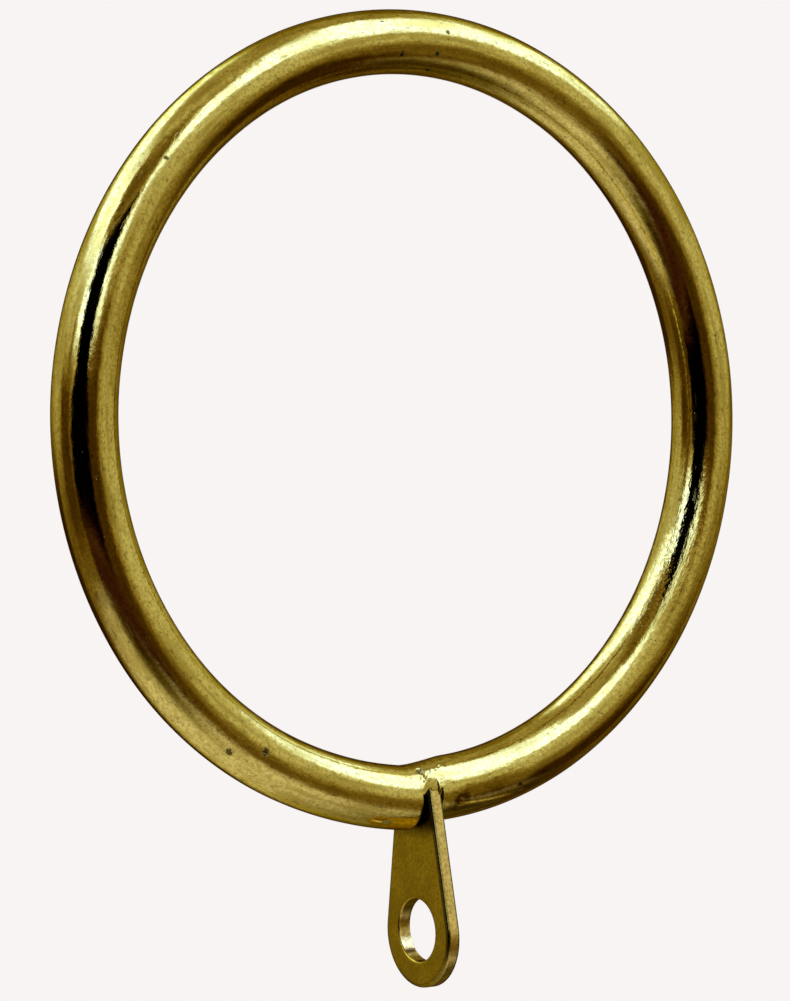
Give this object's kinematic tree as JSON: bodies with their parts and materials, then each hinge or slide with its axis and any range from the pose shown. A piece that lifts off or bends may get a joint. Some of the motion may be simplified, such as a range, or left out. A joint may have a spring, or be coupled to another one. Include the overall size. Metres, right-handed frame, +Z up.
{
  "type": "eyelet curtain ring",
  "caption": "Round brass-plated wire ring that slides along a curtain pole, closed by a weld over a flat pear-shaped tab whose eye takes a curtain hook.",
  "frame": {"origin": "centre of the ring, on the axis of the pole", "axes": "+Y along the pole, +Z up, the eyelet tab hangs towards -Z and its eye runs along X"},
  "size_m": [0.0452, 0.006, 0.0542],
  "materials": {
    "wire_brass": "polished plating over drawn wire, with fine draw lines and pits",
    "tab_brass": "plating over punched sheet, rounded edges and fine cross scratches",
    "weld_brass": "plating over a rough weld, pitted and partly browned"
  },
  "bodies": {
    "root": {"ring": "wire_brass", "eyelet_tab": "tab_brass", "weld": "weld_brass"}
  },
  "joints": []
}
